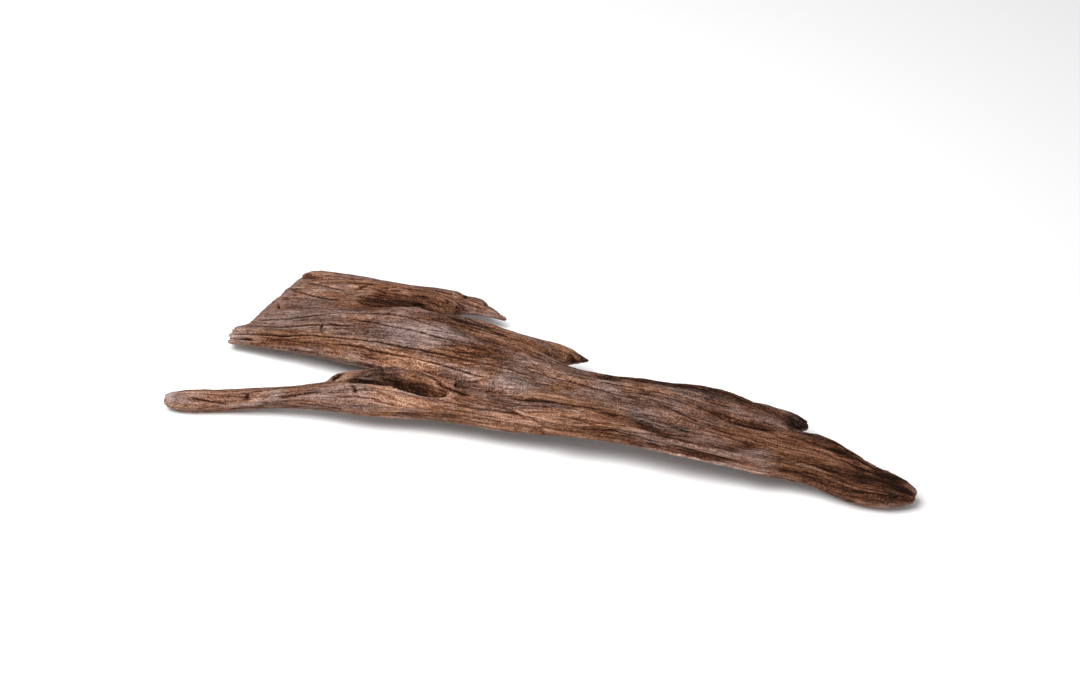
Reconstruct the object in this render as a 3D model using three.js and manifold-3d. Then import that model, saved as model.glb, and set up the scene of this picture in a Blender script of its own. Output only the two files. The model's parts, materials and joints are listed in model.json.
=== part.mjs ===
// A weathered piece of driftwood: a trunk that opens into a broad split slab at one end, with a thick
// far rib, a long side branch, torn splinters, a broken stub and a knot hollow. It grew as one piece,
// so it is one solid. Millimetres, +Z up, X along the trunk; it lies on the plane Z = 0.

import * as THREE from "three";
import { mergeVertices } from "three/addons/utils/BufferGeometryUtils.js";
import Module from "manifold-3d";

const WOOD = { color: 0x73513f, roughness: 0.78, metalness: 0 };

const RING_STEP = 9; // the most that two rings of a limb lie apart
const OVAL = 2; // the power of a cross-section's outline: 2 is an oval
const PLANK = 2.5; // more than 2 is a plank with round edges
const UNDERSIDE = { depth: 20, reach: 800 }; // the block that trims what would lie under the ground

// A limb is a row of slices from one end to the other, each an oval across the limb: the place of its
// middle, its half width (across Y), its height above the middle and its depth below it, how far it
// rolls about X (degrees, positive lifts the far side) and how far its far edge leads along X.
// Its flutes are shallow ridges that run lengthwise: how many there are, how deep they are as a share
// of the section, and how fast they drift round the limb (radians per mm).
const slice = (x, y, z, half, crown, belly, roll = 0, lead = 0) => ({
  x, y, z, half, crown, belly, roll, lead,
});

// The slab with its skewed end, the trunk and the blunt nose.
const STEM = {
  sides: 36,
  power: PLANK,
  flutes: { count: 9, depth: 0.045, drift: 0.009 },
  slices: [
    slice(-241, 83, 13, 48, 2, 2, 6, 20),
    slice(-236, 82, 13, 48, 5, 4, 6, 20),
    slice(-210, 78, 16, 48, 8, 6, 6, 17),
    slice(-170, 69, 20, 45, 11, 8, 4, 10),
    slice(-130, 57, 22, 42, 14, 10, 2, 4),
    slice(-90, 40, 24, 41, 16, 11),
    slice(-50, 22, 26, 39, 18, 12),
    slice(-10, 8, 28, 40, 19, 13),
    slice(30, -7, 28, 35, 19, 13),
    slice(70, -9, 28, 32, 19, 13),
    slice(110, -10, 28, 34, 19, 13),
    slice(150, -9, 25, 38, 18, 13),
    slice(190, -16, 21, 33, 16, 13),
    slice(208, -22, 19, 24, 15, 12),
    slice(228, -24, 17, 23, 15, 12),
    slice(260, -33, 14, 21, 14, 15),
    slice(288, -39, 12, 15, 11, 12),
    slice(302, -39, 11, 10, 8, 9),
    slice(307, -39, 10, 7, 6, 6),
    slice(309, -39, 10, 5, 4, 4),
  ],
};

// The blunt near corner of the slab's end, split from the rest of the end.
const CORNER = {
  sides: 12,
  power: PLANK,
  flutes: { count: 3, depth: 0.04, drift: 0.02 },
  slices: [
    slice(-263, 43, 9, 8, 3, 3),
    slice(-260, 44, 10, 11, 4, 4),
    slice(-230, 48, 12, 14, 6, 5),
    slice(-195, 46, 15, 12, 6, 5),
  ],
};

// The side branch, which runs on as the trunk's near ridge.
const BRANCH = {
  sides: 20,
  power: OVAL,
  flutes: { count: 5, depth: 0.05, drift: 0.01 },
  slices: [
    slice(-288, -46, 9, 4, 4, 4),
    slice(-284, -46, 9, 6, 6, 7),
    slice(-265, -43, 9, 9, 9, 10),
    slice(-225, -35, 11, 9, 9, 9),
    slice(-190, -31, 16, 9, 9, 9),
    slice(-160, -28, 20, 12, 11, 11),
    slice(-125, -26, 22, 16, 13, 12),
    slice(-80, -23, 23, 16, 14, 12),
    slice(-30, -24, 24, 16, 14, 12),
    slice(20, -26, 24, 14, 13, 11),
    slice(60, -26, 25, 10, 9, 9),
  ],
};

// The lip of the knot hollow, which grows out of the slab's near edge behind the branch.
const LIP = {
  sides: 12,
  power: OVAL,
  flutes: { count: 3, depth: 0.05, drift: 0.02 },
  slices: [
    slice(-163, -22, 24, 3, 3, 3),
    slice(-156, -17, 27, 5, 4, 7),
    slice(-136, -11, 31, 6, 4, 12),
    slice(-112, -8, 33, 7, 5, 14),
    slice(-88, -9, 34, 7, 5, 12),
    slice(-58, -14, 35, 6, 4, 8),
  ],
};

// The thick rib along the slab's far edge, which ends in torn, stepped splinters.
const RIB = {
  sides: 16,
  power: OVAL,
  flutes: { count: 4, depth: 0.05, drift: 0.01 },
  slices: [
    slice(-218, 126, 19, 3, 3, 3),
    slice(-208, 122, 19, 8, 7, 8),
    slice(-180, 116, 18, 13, 11, 15),
    slice(-140, 110, 17, 16, 14, 18),
    slice(-110, 110, 17, 16, 13, 18),
    slice(-88, 114, 17, 14, 9, 11),
    slice(-82, 116, 16, 10, 7, 8),
    slice(-66, 117, 15, 9, 5, 6),
    slice(-60, 114, 14, 6, 4, 4),
    slice(-43, 111, 10, 1, 1, 1),
  ],
};

// The trunk's far shoulder, which ends in a pointed splinter.
const SPLINTER = {
  sides: 12,
  power: OVAL,
  flutes: { count: 3, depth: 0.04, drift: 0.02 },
  slices: [
    slice(-115, 74, 23, 12, 8, 8),
    slice(-80, 71, 25, 15, 9, 9),
    slice(-55, 64, 27, 16, 10, 9),
    slice(-38, 59, 28, 14, 9, 8),
    slice(-15, 53, 29, 13, 8, 8),
    slice(5, 54, 27, 12, 7, 7),
    slice(20, 57, 24, 9, 5, 7),
    slice(36, 61, 18, 1, 1, 1),
  ],
};

// The broken stub near the nose.
const STUB = {
  sides: 12,
  power: OVAL,
  flutes: { count: 3, depth: 0.05, drift: 0.02 },
  slices: [
    slice(140, 12, 25, 12, 8, 8),
    slice(175, 14, 23, 13, 9, 9),
    slice(198, 16, 19, 11, 7, 8),
    slice(210, 18, 17, 8, 6, 7),
    slice(219, 21, 15, 4, 3, 4),
  ],
};

// A hollow is an ellipsoid scooped out of the wood: its middle, its half sizes and how far it turns
// about Z (degrees).
const HOLLOWS = [
  { at: [-88, -22, 38], size: [30, 7, 12], turn: -8 }, // the knot hollow behind the near ridge
  { at: [-120, -20, 38], size: [34, 5, 11], turn: -2 }, // the groove that runs out of it
  { at: [-122, 94, 41], size: [60, 15, 15], turn: 10 }, // the fold between the slab and its rib
  { at: [128, -38, 54], size: [62, 12, 16], turn: -4 }, // the valley down the trunk's near side
  { at: [178, -16, 51], size: [44, 9, 13], turn: -10 }, // the valley that ends at the stub
  { at: [280, -24, 31], size: [34, 12, 14], turn: -20 }, // the scooped facet on the nose
];

// A sine or cosine drawn out towards a square, for plank-like sections.
const squared = (v, power) => Math.sign(v) * Math.abs(v) ** (2 / power);

// One ring of points round the limb, for the slice numbers made by the smooth curves below.
function ringAt({ sides, power, flutes }, { x, y, z, half, crown, belly, roll, lead }) {
  const lean = THREE.MathUtils.degToRad(roll);
  return Array.from({ length: sides }, (_, i) => {
    const angle = (2 * Math.PI * i) / sides;
    const swell = 1 + flutes.depth * Math.cos(flutes.count * angle + flutes.drift * x);
    const side = squared(Math.cos(angle), power) * swell;
    const height = squared(Math.sin(angle), power) * swell;
    const across = side * half;
    const up = height * (height > 0 ? crown : belly);
    return new THREE.Vector3(
      x + lead * side,
      y + across * Math.cos(lean) - up * Math.sin(lean),
      z + across * Math.sin(lean) + up * Math.cos(lean),
    );
  });
}

// The slices of a limb, with more between them, on smooth curves through the given ones.
function denseSlices(slices) {
  const curve = (a, b, c) =>
    new THREE.CatmullRomCurve3(slices.map((s) => new THREE.Vector3(s[a], s[b], s[c])));
  const middle = curve("x", "y", "z");
  const girth = curve("half", "crown", "belly");
  const set = curve("roll", "lead", "lead");
  const made = [];
  slices.slice(1).forEach((next, i) => {
    const steps = Math.ceil((next.x - slices[i].x) / RING_STEP);
    for (let k = i ? 1 : 0; k <= steps; k++) {
      const t = (i + k / steps) / (slices.length - 1);
      const [m, g, s] = [middle.getPoint(t), girth.getPoint(t), set.getPoint(t)];
      made.push(slice(m.x, m.y, m.z, g.x, g.y, g.z, s.x, s.y));
    }
  });
  return made;
}

// A closed skin over the rings, with a fan over each end.
function limbGeometry(limb) {
  const rings = denseSlices(limb.slices).map((s) => ringAt(limb, s));
  const points = rings.flat();
  const ends = [rings[0], rings.at(-1)].map((ring) =>
    ring.reduce((sum, p) => sum.add(p), new THREE.Vector3()).divideScalar(ring.length),
  );
  const index = [];
  const n = limb.sides;
  const last = (rings.length - 1) * n;
  for (let i = 0; i < n; i++) {
    const j = (i + 1) % n;
    for (let row = 0; row < last; row += n)
      index.push(row + i, row + j, row + n + i, row + j, row + n + j, row + n + i);
    index.push(points.length, j, i, points.length + 1, last + i, last + j);
  }
  const positions = [...points, ...ends].flatMap((p) => p.toArray());
  const geometry = new THREE.BufferGeometry();
  geometry.setAttribute("position", new THREE.Float32BufferAttribute(positions, 3));
  return geometry.setIndex(index);
}

function hollowGeometry({ at, size, turn }) {
  return new THREE.SphereGeometry(1, 24, 12)
    .scale(...size)
    .rotateZ(THREE.MathUtils.degToRad(turn))
    .translate(...at);
}

const wasm = await Module();
wasm.setup();

function solid(geometry) {
  const bare = geometry.clone().deleteAttribute("normal").deleteAttribute("uv");
  const merged = mergeVertices(bare, 1e-3);
  return new wasm.Manifold(
    new wasm.Mesh({
      numProp: 3,
      vertProperties: merged.attributes.position.array,
      triVerts: new Uint32Array(merged.index.array),
    }),
  );
}

function geometryOf(manifold) {
  const mesh = manifold.getMesh();
  const geometry = new THREE.BufferGeometry();
  geometry.setAttribute("position", new THREE.BufferAttribute(mesh.vertProperties, 3));
  geometry.setIndex(new THREE.BufferAttribute(mesh.triVerts, 1));
  return geometry;
}

function driftwoodGeometry() {
  const limbs = [STEM, CORNER, BRANCH, LIP, RIB, SPLINTER, STUB].map((limb) => solid(limbGeometry(limb)));
  const joined = limbs.reduce((wood, limb) => wood.add(limb));
  const hollowed = HOLLOWS.reduce((wood, hollow) => wood.subtract(solid(hollowGeometry(hollow))), joined);
  const { depth, reach } = UNDERSIDE;
  const ground = new THREE.BoxGeometry(reach, reach, depth).translate(0, 0, -depth / 2);
  return geometryOf(hollowed.subtract(solid(ground)));
}

// The origin is under the middle of the bounding box, on the ground.
function centred(geometry) {
  geometry.computeBoundingBox();
  const { min, max } = geometry.boundingBox;
  geometry.translate(-(min.x + max.x) / 2, -(min.y + max.y) / 2, -min.z);
  geometry.computeVertexNormals();
  return geometry;
}

const driftwood = new THREE.Mesh(centred(driftwoodGeometry()), new THREE.MeshStandardMaterial(WOOD));
driftwood.name = "driftwood";

const part = new THREE.Group();
part.add(driftwood);

export default part;
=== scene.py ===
# A weathered piece of driftwood, carved out of the solid of the frame: the blank gets a fine skin that
# runs with the grain, then the swells, furrows, cracks and torn ends are carved into it, and the wood is
# coloured by its grain and its patches, with shade painted into its grooves, cracks, hollows and notches,
# and a sheen and some light painted on. Lengths are in millimetres until a mesh is written, because the
# furrows are measured in them; Blender's own lengths are in metres.
import json
import math

import bpy
import numpy as np
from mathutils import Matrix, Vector, noise

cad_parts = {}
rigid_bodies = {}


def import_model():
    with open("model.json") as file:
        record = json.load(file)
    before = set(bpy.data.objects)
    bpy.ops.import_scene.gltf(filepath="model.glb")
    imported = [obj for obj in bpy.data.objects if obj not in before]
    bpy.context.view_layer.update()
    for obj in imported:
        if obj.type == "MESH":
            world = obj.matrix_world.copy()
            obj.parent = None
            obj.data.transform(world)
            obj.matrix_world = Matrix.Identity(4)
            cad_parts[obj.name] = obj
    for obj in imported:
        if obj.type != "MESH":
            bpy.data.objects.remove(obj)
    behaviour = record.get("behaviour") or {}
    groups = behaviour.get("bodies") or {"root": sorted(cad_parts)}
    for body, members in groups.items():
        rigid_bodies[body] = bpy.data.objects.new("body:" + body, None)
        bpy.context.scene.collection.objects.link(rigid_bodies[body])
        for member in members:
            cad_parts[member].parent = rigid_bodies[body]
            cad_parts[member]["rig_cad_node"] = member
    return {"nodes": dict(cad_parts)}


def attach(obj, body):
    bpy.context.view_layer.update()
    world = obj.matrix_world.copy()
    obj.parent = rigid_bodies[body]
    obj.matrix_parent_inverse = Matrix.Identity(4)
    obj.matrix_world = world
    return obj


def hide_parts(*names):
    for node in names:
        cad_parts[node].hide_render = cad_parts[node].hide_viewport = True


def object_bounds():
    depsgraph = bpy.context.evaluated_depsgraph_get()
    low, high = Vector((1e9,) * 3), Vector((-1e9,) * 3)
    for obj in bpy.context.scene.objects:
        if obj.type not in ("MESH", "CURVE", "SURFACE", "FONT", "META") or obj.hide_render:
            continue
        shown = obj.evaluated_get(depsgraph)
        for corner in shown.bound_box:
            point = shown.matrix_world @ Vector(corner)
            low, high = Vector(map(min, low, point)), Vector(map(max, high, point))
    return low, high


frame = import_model()
cad_low, cad_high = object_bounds()

MM = 0.001

# The skin: faces are longer along the grain (X) than across it.
SKIN_ACROSS = 0.80
SKIN_ALONG = 2.65
SKIN_EASING = 4  # rounds of smoothing that take the blank's facets off
WELD = 0.01

# The relief, as heights and depths in millimetres.
SWELL = 1.1  # broad swells
RIDGE = 1.1  # ridges of hard late wood
FIBRE = 0.3
LINE_CUT = 0.85  # long grooves between the ridges
FINE_CUT = 0.5  # finer ones
TORN_LINES, TORN_FIBRE = 0.5, 0.9  # the ragged faces that look along the grain
WANDER = 1.1  # how far a furrow strays from its smooth line
CLEAR_OF_GROUND = 0.02

# How wide the grooves are, as a part of their noise's range, and how much painted crack shade is in them.
LINE_WIDTH, FINE_WIDTH = 0.13, 0.2
LINE_CRACK_SHADE, FINE_CRACK_SHADE = 0.32, 0.18

# Rounds of averaging that leave out the grooves, and then the hollows too; the gaps measure them for the
# painted shade.
GROOVE_ROUNDS, HOLLOW_ROUNDS = 8, 60
SUNKEN_SHARE = 0.45  # how much of a valley's depth counts towards the painted hollow shade besides

# The view: degrees round from the near side and above the ground; the distance and the point that it
# looks at are in lengths of the piece.
AZIMUTH, ELEVATION, LENS = 12, 38, 85
DISTANCE = 3.532
LOOK_AT = (-0.038, 0.098)

# The run of the grain in plan, as lines of it from the slab's end to the nose (X, Y).
NEAR_LINE = [
    (-300, -88), (-270, -90), (-200, -78), (-50, -80), (50, -80), (150, -86), (210, -85), (250, -92),
    (300, -88),
]
SEAM_LINE = [(-280, -3), (-200, -14), (-130, -35), (-70, -51), (50, -64), (200, -74), (300, -80)]
BRANCH_LINE = [(-300, -78), (-270, -71), (-200, -60), (-160, -49), (-130, -35)]
FOLD_LINE = [
    (-280, 55), (-200, 45), (-140, 54), (-100, 54), (-50, 42), (30, 14), (100, 3), (180, -8),
    (240, -22), (300, -40),
]
RIM_LINE = [(-280, 92), (-200, 80), (-100, 76), (-30, 68), (50, 46), (120, 34), (200, 14), (300, -6)]
HEART_LINE = [  # (X, Z) of the middle of the wood
    (-300, 10), (-220, 16), (-150, 22), (-50, 27), (100, 28), (180, 21), (240, 15), (300, 11),
]
CROTCH_X = -130

# Everything below lies in the grain's own measure: X along the wood, and across it a count that is
# -26 on the near edge, 0 on the seam of the branch, 60 in the fold and 90 on the far rim.
NEAR_SPAN, SEAM_SPAN, RIM_SPAN = 26, 60, 30

# Where the grain parts round a knot or a scar: X, across, half length, half width, push.
EDDIES = [
    (-180, 78, 16, 8, 5),  # the eye on the rib
    (-100, -8, 26, 8, 4),  # the knot hollow
    (-230, -16, 12, 9, 4),  # the knot on the branch
    (145, 34, 24, 10, 3),  # the scar on the trunk
    (265, 4, 26, 10, 4),  # the nose
]

# A stroke runs along the grain: from X to X, across at each end, and how far it bows between them.
# Each of these then has a half width and a depth.
VALLEYS = [  # wide and soft; a depth below zero is a swell
    (-190, -100, 54, 64, 0, 9, 1.2),  # the fold
    (-190, -90, 48, 57, 0, 7, 2.0),  # and its near edge, worn round
    (-160, -100, -7, -9, 0, 5, 1.0),  # the groove in the lip
    (-85, -60, -9, -11, 0, 4.5, -1.6),  # the lip's far end
    (-15, 40, -7, -10, 0, 4, 1.4),  # between the near ridge and the trunk
    (60, 190, 6, 8, -30, 5, 2.6),  # the long curved valley of the near side
    (120, 195, 20, 22, -4, 5, 2.4),  # the one above it, which ends at the stub
    (120, 155, 36, 20, 0, 8, 0.8),
    (210, 245, 34, 30, 0, 8, -1.8),
    (235, 290, 24, 8, 0, 8, -1.6),
    (-60, 50, -18, -28, 0, 7, -1.2),  # the near ridge
]
FURROWS = [  # narrow, with a crack at the bottom
    (-300, -246, 3, 5, 0, 1.7, 7.0),  # the split end of the slab
    (-300, -248, 11, 14, 0, 1.6, 6.0),
    (-290, -35, 5, 14, 7, 1.3, 2.6),  # the long crack down the slab
    (-265, -160, 18, 30, 2, 1.2, 2.2),
    (-190, -30, 10, 3, 4, 1.0, 1.5),
    (-180, -60, 36, 24, 0, 1.0, 1.3),
    (-185, -80, 40, 30, 6, 1.0, 1.4),
    (-260, -185, 29, 42, 0, 1.0, 1.3),
    (-130, -95, 52, 65, 0, 1.4, 2.2),  # the slit under the rib
    (-240, -185, 72, 60, 0, 1.1, 1.6),
    (-230, -185, 82, 73, 0, 1.0, 1.3),
    (-150, -85, 81, 84, 0, 1.0, 1.4),
    (-260, -175, -2, 1, 0, 1.1, 1.5),
    (-150, -70, -3, -6, 3, 1.0, 1.7),  # the lip
    (-85, -52, -5, -9, 0, 1.4, 2.4),
    (-50, -25, -21, -17, 0, 1.2, 1.0),
    (-280, -240, -20, -23, 0, 0.9, 0.8),  # the branch
    (-210, -165, -24, -22, 0, 0.9, 1.2),
    (-30, 60, -4, -3, -4, 1.2, 1.2),
    (95, 130, 13, 3, 0, 1.1, 1.1),
    (140, 190, 16, 20, -2, 1.6, 2.4),
    (10, 110, 21, 23, 0, 0.9, 1.2),
    (-25, 85, 18, 12, 0, 0.9, 1.2),
    (-10, 95, 34, 35, 0, 0.9, 1.1),
    (200, 270, 12, 2, 0, 0.9, 1.0),
    (235, 290, -21, -24, 0, 0.9, 1.1),
]
NICKS = [  # across the grain: X, lean along it, across at each end, half width, depth
    (-192, -4, 15, 31, 1.2, 2.2),
    (-143, -4, -24, -17, 1.4, 2.6),
    (-230, -4, -20, -14, 1.8, 1.2),
    (-238, -5, 45, 55, 1.1, 1.6),
    (-166, 6, -8, 0, 2.4, 4.0),  # the pit at the lip's end
    (-92, 4, 92, 112, 1.2, 2.0),  # the steps of the torn rib
    (-74, 6, 92, 112, 1.1, 1.8),
    (-61, 5, 90, 108, 1.1, 1.6),
    (-180, 8, 75, 80, 2.0, 1.6),
]

# Patches of colour, of painted sheen, and of painted light and shade: X, across, half length, half width,
# strength.
# The grey patches paint the silvery sheen of the worn wood.
GREY_SHEEN_PATCHES = [
    (-110, 28, 50, 11, 1.0), (-235, 34, 36, 10, 0.7), (-20, 4, 30, 7, 1.0), (90, -4, 35, 7, 0.6),
    (165, -14, 26, 8, 1.0), (150, 36, 18, 6, 0.5), (90, 18, 24, 6, 0.5), (-215, -24, 35, 6, 0.5),
    (-10, -32, 45, 6, 0.3), (-195, 78, 32, 8, 0.6), (40, 22, 35, 7, 0.5), (-294, -20, 6, 8, 1.2),
    (-270, 4, 8, 6, 1.0),
]
WARM_PATCHES = [
    (-115, 7, 34, 6, 1.4), (-65, 20, 36, 10, 1.4), (-130, 74, 70, 16, 1.2), (-5, -3, 40, 6, 0.9),
    (5, -22, 62, 9, 1.2), (-110, -22, 40, 7, 0.5), (180, 6, 36, 6, 1.0), (155, 18, 28, 6, 1.2),
    (255, 0, 65, 30, 2.0), (215, 12, 50, 14, 1.2), (-250, 38, 20, 9, 0.6), (-10, 76, 50, 14, 1.4),
    (-105, -9, 36, 8, 0.6), (-215, 10, 56, 8, 1.0), (70, 46, 110, 12, 0.9), (-40, 40, 46, 10, 0.8),
    (5, 60, 34, 9, 1.2),
]
# The pale patches are paler wood, as at the torn tips, and painted light on the near ridge and on the
# near edge, which faces down away from the lamps.
PALE_AND_PAINTED_LIGHT_PATCHES = [
    (-115, -22, 36, 8, 1.4), (0, -20, 54, 9, 1.0), (-250, 32, 26, 9, 0.6), (-105, 28, 46, 10, 0.7),
    (-115, 7, 30, 5, 1.0), (-295, -20, 6, 8, 1.8), (-271, 4, 7, 5, 1.2), (-225, -26, 66, 14, 0.6),
    (125, -31, 56, 9, 1.6), (250, -24, 28, 7, 0.8), (-5, 62, 34, 9, 0.8), (155, 18, 26, 4, 0.7),
    (215, 10, 34, 5, 0.6), (40, 30, 60, 12, 0.4), (-190, 62, 14, 5, 0.8), (-200, 72, 44, 14, 0.4),
    (-215, 48, 40, 10, 0.3),
]
# The dark patches are blackened wood on the nose, and painted shade on its far facet, in the fold, the
# seam, the knot hollow and the notches.
DARK_AND_SHADE_PATCHES = [
    (276, 2, 25, 17, 3.0), (252, 16, 26, 12, 2.8), (230, 29, 30, 10, 1.7),  # the blackened nose, with painted shade on its far facet
    (262, -22, 58, 30, 1.5), (290, -14, 18, 34, 1.3),
    (-135, 63, 64, 13, 0.6), (-115, 74, 44, 10, 0.3), (-108, 62, 22, 7, 1.1),  # painted shade in the fold
    (-58, 27, 38, 11, 1.0),  # painted shade where the slab meets the trunk
    (-163, -4, 7, 5, 1.8), (-98, -9, 12, 6, 1.2), (-130, -8, 38, 10, 1.3),  # painted shade in the knot hollow
    (-66, -9, 14, 3, 1.0),
    (203, 46, 18, 18, 2.5), (172, 17, 24, 5, 1.5),  # painted shade at the stub and in the valley up to it
    (23, 65, 9, 9, 2.4), (18, 55, 8, 5, 2.8),  # the middle splinter's dark tip, and painted shade in its notch
    (128, 22, 14, 5, 0.4), (15, -8, 26, 4, 0.8), (100, 41, 115, 13, 1.8), (140, 34, 26, 9, 0.9),
    (-88, 48, 44, 8, 1.1), (125, 6, 70, 10, 0.35), (160, 32, 40, 9, 0.5),
]


def select_only(piece):
    bpy.ops.object.select_all(action="DESELECT")
    piece.select_set(True)
    bpy.context.view_layer.objects.active = piece


def stretch(piece, along):
    """Stretches a piece along the grain and writes that into its mesh."""
    select_only(piece)
    piece.scale = (along, 1, 1)
    bpy.ops.object.transform_apply(location=False, rotation=False, scale=True)


def with_modifier(piece, kind, **settings):
    select_only(piece)
    modifier = piece.modifiers.new(kind.lower(), kind)
    for name, value in settings.items():
        setattr(modifier, name, value)
    bpy.ops.object.modifier_apply(modifier=modifier.name)


def wood_blank():
    """A copy of the frame's solid with a fine even skin and its facets eased away."""
    select_only(frame["nodes"]["driftwood"])
    bpy.ops.object.duplicate()
    blank = bpy.context.active_object
    bpy.ops.object.parent_clear(type="CLEAR_KEEP_TRANSFORM")
    blank.name = "weathered_driftwood"
    del blank["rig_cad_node"]
    blank.data.materials.clear()
    bpy.ops.object.mode_set(mode="EDIT")
    bpy.ops.mesh.select_all(action="SELECT")
    bpy.ops.mesh.remove_doubles(threshold=WELD * MM)
    bpy.ops.object.mode_set(mode="OBJECT")
    stretch(blank, SKIN_ACROSS / SKIN_ALONG)
    with_modifier(blank, "REMESH", mode="VOXEL", voxel_size=SKIN_ACROSS * MM, use_smooth_shade=True)
    stretch(blank, SKIN_ALONG / SKIN_ACROSS)
    with_modifier(blank, "SMOOTH", factor=0.5, iterations=SKIN_EASING)
    return blank


def points_of(piece):
    """The piece's points, in millimetres."""
    flat = np.zeros(len(piece.data.vertices) * 3)
    piece.data.vertices.foreach_get("co", flat)
    return flat.reshape(-1, 3) / MM


def normals_of(piece):
    flat = np.zeros(len(piece.data.vertices) * 3)
    piece.data.vertex_normals.foreach_get("vector", flat)
    return flat.reshape(-1, 3)


def set_points(piece, points):
    piece.data.vertices.foreach_set("co", (points * MM).ravel())
    piece.data.update()


def step(low, high, value):
    """0 below low, 1 above high and a smooth rise between."""
    t = np.clip((value - low) / (high - low), 0, 1)
    return t * t * (3 - 2 * t)


def along_route(route, x):
    """The route's other coordinate at each x, on a smooth curve through its points."""
    xs, ys = np.array(route, float).T
    slope = np.gradient(ys, xs)
    i = np.clip(np.searchsorted(xs, x) - 1, 0, len(xs) - 2)
    width = xs[i + 1] - xs[i]
    t = np.clip((x - xs[i]) / width, 0, 1)
    start = (1 + 2 * t) * (1 - t) ** 2 * ys[i] + t * (1 - t) ** 2 * width * slope[i]
    end = t * t * (3 - 2 * t) * ys[i + 1] - t * t * (1 - t) * width * slope[i + 1]
    return start + end


def grain_of(points):
    """Where each point lies in the grain (along it, across it and above the wood's heart), and how
    many millimetres one count across it measures there."""
    x, y, z = points.T
    near, seam, fold, rim = (along_route(line, x) for line in (NEAR_LINE, SEAM_LINE, FOLD_LINE, RIM_LINE))
    branch = along_route(BRANCH_LINE, x)
    on_branch = (x < CROTCH_X) & (y < (seam + branch) / 2)
    seam = np.where(on_branch, branch, seam)
    spread = np.where(y < seam, (seam - near) / NEAR_SPAN, (fold - seam) / SEAM_SPAN)
    across = (y - seam) / spread
    past_fold = (y > fold) & ~on_branch
    spread = np.where(past_fold, (rim - fold) / RIM_SPAN, spread)
    across = np.where(past_fold, SEAM_SPAN + (y - fold) / spread, across)
    # Beyond the outer lines, and between the branch and the slab, a count is a millimetre.
    across = np.where(y < near, y - near - NEAR_SPAN, across)
    across = np.where(on_branch & (y > seam), y - seam, across)
    across = np.where(y > rim, SEAM_SPAN + RIM_SPAN + y - rim, across)
    spread = np.where((y < near) | (y > rim) | (on_branch & (y > seam)), 1, spread)
    for knot_x, knot_across, length, width, push in EDDIES:
        u, v = (x - knot_x) / length, (across - knot_across) / width
        across = across - push * v * np.exp(-(u * u + v * v))
    return np.stack([x, across, z - along_route(HEART_LINE, x)], -1), spread


def grain_noise(grain, upright, along, across, seed, octaves=2):
    """Noise drawn out along the grain, alike on level and on upright faces; about -1 to 1."""
    shift = Vector((seed, seed * 1.7, seed * 0.6))
    level = grain / np.array([along, across, across * 3])
    side = grain / np.array([along, across * 3, across])
    values = [
        np.array([noise.fractal(Vector(p) + shift, 1.0, 2.0, octaves) for p in places])
        for places in (level, side)
    ]
    return values[0] * (1 - upright) + values[1] * upright


def from_stroke(grain, spread, start, end, first, last, bow):
    """Millimetres across the grain from each point to a stroke, and how far along it (0 to 1) that is."""
    share = np.clip((grain[:, 0] - start) / (end - start), 0, 1)
    middle = first + (last - first) * share + 4 * bow * share * (1 - share)
    return (grain[:, 1] - middle) * spread, share


def from_nick(grain, at, lean, first, last):
    """Millimetres along the grain from each point to a nick, and how far along it (0 to 1) that is."""
    share = np.clip((grain[:, 1] - first) / (last - first), 0, 1)
    return grain[:, 0] - at - lean * share, share


def cut(gap, share, half_width, depth):
    """A cut that fades out at both ends: how deep it is, and how much painted crack shade darkens it."""
    taper = step(0, 0.2, share) * step(0, 0.2, 1 - share)
    width = half_width * (0.5 + 0.5 * taper)
    profile = np.clip(1 - np.abs(gap) / width, 0, 1)
    wide = np.clip(1 - np.abs(gap) / (width * 3), 0, 1) ** 2
    return depth * taper * (0.75 * profile + 0.3 * wide), taper * profile


def valley(gap, share, half_width, depth):
    """A soft wide valley that fades out at both ends: how deep it is."""
    return depth * step(0, 0.3, share) * step(0, 0.3, 1 - share) * np.exp(-((gap / half_width) ** 2))


def patch_mask(grain, patches, breakup):
    """Soft patches, drawn out along the grain, with ragged edges."""
    mask = np.zeros(len(grain))
    for along, across, half_length, half_width, strength in patches:
        far = np.hypot((grain[:, 0] - along) / half_length, (grain[:, 1] - across) / half_width)
        mask = np.maximum(mask, strength * step(0, 1, 1.25 - far + 0.55 * breakup))
    return mask


def eased(values, links, rounds):
    """Values at the points, averaged with their neighbours a number of times."""
    count = np.bincount(links.ravel(), minlength=len(values))[:, None]
    for _ in range(rounds):
        total = np.stack(
            [
                np.bincount(links[:, 0], values[links[:, 1], k], len(values))
                + np.bincount(links[:, 1], values[links[:, 0], k], len(values))
                for k in range(values.shape[1])
            ],
            -1,
        )
        values = 0.4 * values + 0.6 * total / np.maximum(count, 1)
    return values


def write_attribute(piece, name, values):
    kind, field = ("FLOAT", "value") if values.ndim == 1 else ("FLOAT_VECTOR", "vector")
    attribute = piece.data.attributes.new(name, kind, "POINT")
    attribute.data.foreach_set(field, values.astype(np.float32).ravel())


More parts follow.
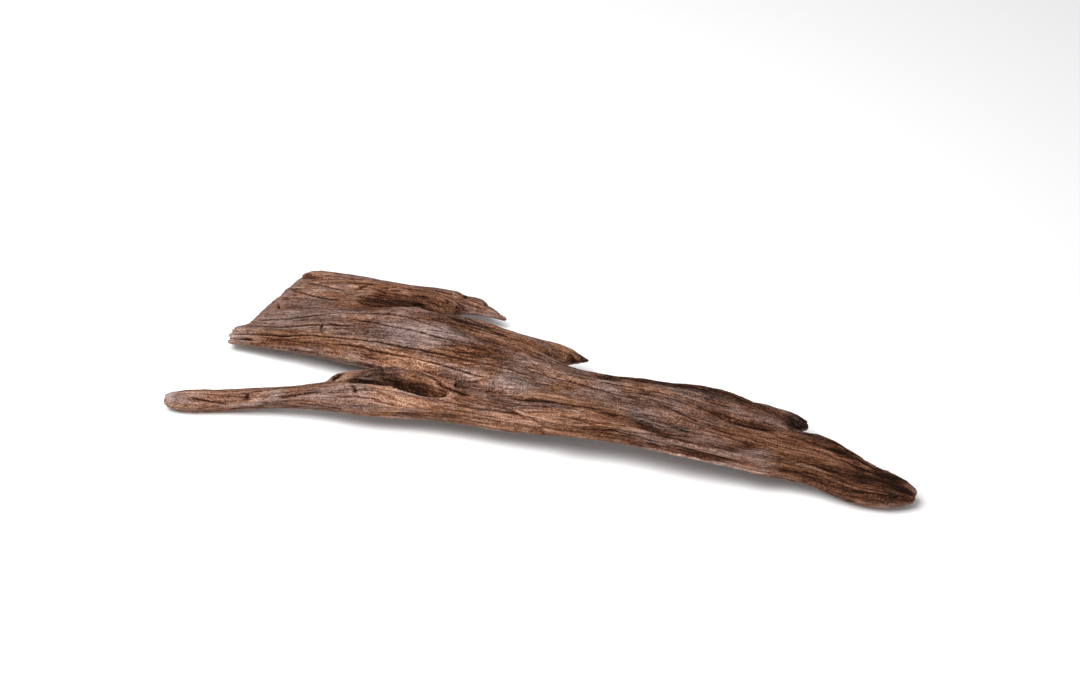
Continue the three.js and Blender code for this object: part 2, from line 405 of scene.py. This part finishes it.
def carve(blank):
    """Carves swells, valleys, furrows and cracks into the blank, and notes what the finish needs: the
    grain, the painted shade in grooves, cracks and hollows, and the patches of colour, painted sheen,
    painted light and painted shade.
    """
    points = points_of(blank)
    normals = normals_of(blank)
    grain, spread = grain_of(points)
    upright = step(0.35, 0.75, 1 - np.abs(normals[:, 2]))
    top = step(0.05, 0.4, normals[:, 2])
    endwise = step(0.5, 0.9, np.abs(normals[:, 0]))
    open_face = np.maximum(top, endwise)
    not_under = step(-0.5, 0, normals[:, 2])  # the patches fade out on the underside

    swell = grain_noise(grain, upright, 80, 20, 3.1)
    wander = grain_noise(grain, upright, 26, 9, 11.3)
    ridges = grain_noise(grain, upright, 55, 11, 29.3)
    lines = grain_noise(grain, upright, 90, 5.5, 5.7)
    fine = grain_noise(grain, upright, 42, 2.7, 8.9)
    fibre = grain_noise(grain, upright, 9, 1.7, 17.1)
    vigour = step(-0.4, 0.5, grain_noise(grain, upright, 50, 16, 23.9))

    line_cut = np.clip(1 - np.abs(lines) / LINE_WIDTH, 0, 1) * (0.2 + 0.8 * vigour)
    fine_cut = np.clip(1 - np.abs(fine) / FINE_WIDTH, 0, 1) * (0.35 + 0.65 * vigour)
    depth = LINE_CUT * line_cut + FINE_CUT * fine_cut
    # The crack mask marks the bottoms of the cuts, where painted shade goes.
    crack_shade = LINE_CRACK_SHADE * line_cut + FINE_CRACK_SHADE * fine_cut
    for *stroke, half_width, deep in FURROWS:
        gap, share = from_stroke(grain, spread, *stroke)
        cut_depth, cut_shade = cut(gap + WANDER * wander, share, half_width, deep)
        depth = np.maximum(depth, cut_depth * open_face)
        crack_shade = np.maximum(crack_shade, cut_shade * open_face)
    for *place, half_width, deep in NICKS:
        cut_depth, cut_shade = cut(*from_nick(grain, *place), half_width, deep)
        depth = np.maximum(depth, cut_depth * top)
        crack_shade = np.maximum(crack_shade, cut_shade * top)
    sunken = sum(
        valley(*from_stroke(grain, spread, *stroke), half_width, deep)
        for *stroke, half_width, deep in VALLEYS
    ) * top
    torn = endwise * (TORN_LINES * fine + TORN_FIBRE * fibre)
    raised = SWELL * swell + RIDGE * ridges + FIBRE * fibre + torn - depth - sunken
    carved = points + normals * raised[:, None]
    carved[:, 2] = np.maximum(carved[:, 2], CLEAR_OF_GROUND)
    set_points(blank, carved)

    links = np.zeros(len(blank.data.edges) * 2, np.int64)
    blank.data.edges.foreach_get("vertices", links)
    links = links.reshape(-1, 2)
    normals = normals_of(blank)
    # The gaps to the eased surfaces measure the grooves and hollows, for the painted shade in them.
    near = eased(carved, links, GROOVE_ROUNDS)
    broad = eased(near, links, HOLLOW_ROUNDS)
    write_attribute(blank, "grain", grain)
    write_attribute(blank, "upright", upright)
    write_attribute(blank, "crack_shade", np.clip(crack_shade, 0, 1))
    write_attribute(blank, "groove_shade", np.einsum("ij,ij->i", near - carved, normals))
    # Painted shade in the hollows, deeper in the carved valleys too.
    hollow_shade = np.einsum("ij,ij->i", broad - carved, normals) + SUNKEN_SHARE * sunken
    write_attribute(blank, "hollow_shade", hollow_shade)
    # The patches: warm wood, painted sheen, paler wood with painted light, and blackened wood with
    # painted shade.
    for name, patches in (
        ("grey_sheen_patch", GREY_SHEEN_PATCHES),
        ("warm_patch", WARM_PATCHES),
        ("pale_and_painted_light_patch", PALE_AND_PAINTED_LIGHT_PATCHES),
        ("dark_and_shade_patch", DARK_AND_SHADE_PATCHES),
    ):
        write_attribute(blank, name, patch_mask(grain, patches, wander) * not_under)
    return blank


def node(tree, kind, values=None, **settings):
    """A shader node with its settings and the plain values of its sockets."""
    made = tree.nodes.new(kind)
    for name, value in settings.items():
        setattr(made, name, value)
    for socket, value in (values or {}).items():
        made.inputs[socket].default_value = value
    return made


def maths(tree, operation, *values, clamp=False):
    made = node(tree, "ShaderNodeMath", operation=operation, use_clamp=clamp)
    for socket, value in zip(made.inputs, values):
        if isinstance(value, bpy.types.NodeSocket):
            tree.links.new(value, socket)
        else:
            socket.default_value = value
    return made.outputs[0]


def ranged(tree, value, low, high, to_low=0.0, to_high=1.0):
    made = node(
        tree, "ShaderNodeMapRange",
        {"From Min": low, "From Max": high, "To Min": to_low, "To Max": to_high},
        interpolation_type="SMOOTHSTEP",
    )
    tree.links.new(value, made.inputs["Value"])
    return made.outputs["Result"]


def mixed(tree, factor, first, second):
    made = node(tree, "ShaderNodeMix", data_type="RGBA")
    for socket, value in zip((made.inputs[0], made.inputs[6], made.inputs[7]), (factor, first, second)):
        if isinstance(value, bpy.types.NodeSocket):
            tree.links.new(value, socket)
        else:
            socket.default_value = value
    return made.outputs[2]


def attribute(tree, name, output="Fac"):
    return node(tree, "ShaderNodeAttribute", attribute_name=name).outputs[output]


def fibre_group():
    """Weathered wood from grain coordinates: streaks and dashes, pores, fine checks, and soft clouds."""
    tree = bpy.data.node_groups.new("weathered fibre", "ShaderNodeTree")
    tree.interface.new_socket("Grain", in_out="INPUT", socket_type="NodeSocketVector")
    start = node(tree, "NodeGroupInput")
    end = node(tree, "NodeGroupOutput")

    def drawn_out(scale, place, detail, roughness, distortion):
        mapping = node(tree, "ShaderNodeMapping", {"Scale": scale, "Location": place})
        texture = node(
            tree, "ShaderNodeTexNoise",
            {"Scale": 1.0, "Detail": detail, "Roughness": roughness, "Distortion": distortion},
        )
        tree.links.new(start.outputs["Grain"], mapping.inputs["Vector"])
        tree.links.new(mapping.outputs["Vector"], texture.inputs["Vector"])
        return texture.outputs["Fac"]

    def off_middle(value):
        return maths(tree, "ABSOLUTE", maths(tree, "SUBTRACT", value, 0.5))

    def give(name, value, low, high):
        tree.interface.new_socket(name, in_out="OUTPUT", socket_type="NodeSocketFloat")
        tree.links.new(ranged(tree, value, low, high), end.inputs[name])

    give("Streaks", drawn_out((0.03, 0.42, 0.42), (0, 0, 0), 4.0, 0.6, 0.5), 0.32, 0.68)
    give("Dashes", drawn_out((0.20, 0.80, 0.80), (7, 3, 5), 2.0, 0.6, 0.8), 0.32, 0.68)
    give("Pores", drawn_out((0.90, 1.25, 1.25), (3, 9, 2), 2.0, 0.8, 0.3), 0.3, 0.7)
    give("Checks", off_middle(drawn_out((0.022, 0.5, 0.5), (5, 1, 8), 3.0, 0.6, 0.8)), 0.024, 0)
    give("Hairlines", off_middle(drawn_out((0.05, 1.0, 1.0), (4, 2, 6), 2.0, 0.6, 1.0)), 0.034, 0)
    give("Clouds", drawn_out((0.028, 0.075, 0.075), (2, 6, 4), 3.0, 0.55, 0.4), 0.32, 0.68)
    give("Bloom", drawn_out((0.022, 0.06, 0.06), (9, 4, 1), 3.0, 0.6, 0.4), 0.36, 0.64)
    return tree


def wood_ramp(tree, tone, stops):
    """A colour ramp from the darkest wood to the palest."""
    ramp = node(tree, "ShaderNodeValToRGB")
    while len(ramp.color_ramp.elements) < len(stops):
        ramp.color_ramp.elements.new(0.5)
    for element, (place, colour) in zip(ramp.color_ramp.elements, stops):
        element.position = place
        element.color = (*colour, 1)
    tree.links.new(tone, ramp.inputs["Fac"])
    return ramp.outputs["Color"]


def weathered_wood(fibre):
    """Dry wood, orange brown where it is worn and greyish where a sheen is painted on; painted shade
    darkens its grooves, cracks and hollows, and painted light makes its ridges paler."""
    material = bpy.data.materials.new("weathered_wood")
    material.use_nodes = True
    tree = material.node_tree
    shader = tree.nodes["Principled BSDF"]
    shader.inputs["Specular IOR Level"].default_value = 0.07

    grain = attribute(tree, "grain", "Vector")
    upright = attribute(tree, "upright")
    faces = []
    for squeeze in ((1, 1, 0.33), (1, 0.33, 1)):
        turned = node(tree, "ShaderNodeMapping", {"Scale": squeeze})
        placed = node(tree, "ShaderNodeGroup", node_tree=fibre)
        tree.links.new(grain, turned.inputs["Vector"])
        tree.links.new(turned.outputs["Vector"], placed.inputs["Grain"])
        faces.append(placed)

    def blended(name):
        both = node(tree, "ShaderNodeMix", data_type="FLOAT")
        tree.links.new(upright, both.inputs[0])
        tree.links.new(faces[0].outputs[name], both.inputs[2])
        tree.links.new(faces[1].outputs[name], both.inputs[3])
        return both.outputs[0]

    streaks, dashes, pores, checks, hairlines, clouds, bloom = (
        blended(socket.name) for socket in faces[0].outputs
    )
    # Painted shade in the grooves and hollows, and painted light on the ridges and swells.
    groove_shade = ranged(tree, attribute(tree, "groove_shade"), -0.3, 0.4, -1.0, 1.0)
    hollow_shade = ranged(tree, attribute(tree, "hollow_shade"), -1.4, 2.4, -0.7, 1.0)
    # The tone: grain texture, painted shade from the groove, hollow and crack masks, painted light and
    # paler wood from the pale patches, and painted shade and blackened wood from the dark patches.
    tone = 0.465
    for value, weight in (
        (maths(tree, "SUBTRACT", streaks, 0.5), 0.15),
        (maths(tree, "SUBTRACT", dashes, 0.5), 0.17),
        (maths(tree, "SUBTRACT", pores, 0.5), 0.50),
        (maths(tree, "SUBTRACT", clouds, 0.5), 0.13),
        (checks, -0.20),
        (hairlines, -0.15),
        (groove_shade, -0.14),
        (hollow_shade, -0.15),
        # painted shade in the bottoms of the cuts
        (attribute(tree, "crack_shade"), -0.26),
        (attribute(tree, "pale_and_painted_light_patch"), 0.14),
        (attribute(tree, "dark_and_shade_patch"), -0.20),
    ):
        tone = maths(tree, "MULTIPLY_ADD", value, weight, tone)
    # Warmer in the warm patches and cooler where the grey sheen is painted; the hollows' painted shade is
    # warmer too.
    warmth = maths(tree, "SUBTRACT", attribute(tree, "warm_patch"), attribute(tree, "grey_sheen_patch"))
    warmth = maths(tree, "MULTIPLY_ADD", warmth, 0.6, 0.32)
    warmth = maths(tree, "MULTIPLY_ADD", bloom, 0.7, warmth)
    warmth = maths(tree, "MULTIPLY_ADD", hollow_shade, 0.25, warmth, clamp=True)

    grey_wood = wood_ramp(tree, tone, [
        (0.0, (0.012, 0.0065, 0.005)), (0.2, (0.042, 0.023, 0.018)), (0.4, (0.115, 0.070, 0.058)),
        (0.6, (0.205, 0.132, 0.114)), (0.8, (0.34, 0.235, 0.205)), (1.0, (0.54, 0.41, 0.36)),
    ])
    warm_wood = wood_ramp(tree, tone, [
        (0.0, (0.012, 0.0055, 0.0035)), (0.2, (0.045, 0.0165, 0.0085)), (0.4, (0.122, 0.047, 0.0235)),
        (0.6, (0.225, 0.099, 0.054)), (0.8, (0.38, 0.195, 0.120)), (1.0, (0.60, 0.375, 0.265)),
    ])
    tree.links.new(mixed(tree, warmth, grey_wood, warm_wood), shader.inputs["Base Color"])

    tree.links.new(ranged(tree, tone, 0.1, 0.8, 0.95, 0.72), shader.inputs["Roughness"])
    relief = maths(tree, "MULTIPLY", streaks, 0.5)
    relief = maths(tree, "MULTIPLY_ADD", dashes, 0.5, relief)
    relief = maths(tree, "MULTIPLY_ADD", pores, 0.6, relief)
    relief = maths(tree, "MULTIPLY_ADD", checks, -0.8, relief)
    relief = maths(tree, "MULTIPLY_ADD", hairlines, -0.5, relief)
    bump = node(tree, "ShaderNodeBump", {"Strength": 0.7, "Distance": 0.5 * MM})
    tree.links.new(relief, bump.inputs["Height"])
    tree.links.new(bump.outputs["Normal"], shader.inputs["Normal"])
    return material


def pale_floor():
    bpy.ops.mesh.primitive_plane_add(size=12, location=(0, 0, 0))
    floor = bpy.context.active_object
    floor.name = "floor"
    material = bpy.data.materials.new("pale floor")
    material.use_nodes = True
    material.node_tree.nodes["Principled BSDF"].inputs["Base Color"].default_value = (0.9, 0.9, 0.9, 1)
    material.node_tree.nodes["Principled BSDF"].inputs["Roughness"].default_value = 0.9
    floor.data.materials.append(material)
    return floor


def aimed(data, place, target):
    """An object for a light or a camera, at a place and turned to a target."""
    made = bpy.data.objects.new(data.name, data)
    bpy.context.scene.collection.objects.link(made)
    made.location = place
    made.rotation_mode = "QUATERNION"
    made.rotation_quaternion = (Vector(target) - Vector(place)).to_track_quat("-Z", "Y")
    return made


def studio():
    """A soft light above the near left, a weak broad one low in front, a pale sky, and the camera."""
    soft = bpy.data.lights.new("soft light", "AREA")
    soft.size = 1.2
    soft.energy = 37
    aimed(soft, (-0.5, -0.45, 1.5), (0, 0, 0))
    fill = bpy.data.lights.new("front fill", "SUN")
    fill.angle = math.radians(40)
    fill.energy = 0.7
    aimed(fill, (0.1, -1.5, 0.45), (0, 0, 0))
    world = bpy.data.worlds.new("pale studio")
    world.use_nodes = True
    world.node_tree.nodes["Background"].inputs["Color"].default_value = (1, 1, 1, 1)
    world.node_tree.nodes["Background"].inputs["Strength"].default_value = 0.32
    bpy.context.scene.world = world
    bpy.context.scene.view_settings.view_transform = "Standard"

    length = cad_high.x - cad_low.x
    azimuth, elevation = math.radians(AZIMUTH), math.radians(ELEVATION)
    level = math.cos(elevation)
    back = Vector((math.sin(azimuth) * level, -math.cos(azimuth) * level, math.sin(elevation)))
    lens = bpy.data.cameras.new("camera")
    lens.lens = LENS
    target = Vector((LOOK_AT[0] * length, LOOK_AT[1] * length, 0))
    camera = aimed(lens, target + back * DISTANCE * length, target)
    bpy.context.scene.camera = camera


studio()
floor = pale_floor()
driftwood = carve(wood_blank())
driftwood.data.materials.append(weathered_wood(fibre_group()))
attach(driftwood, "root")
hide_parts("driftwood")
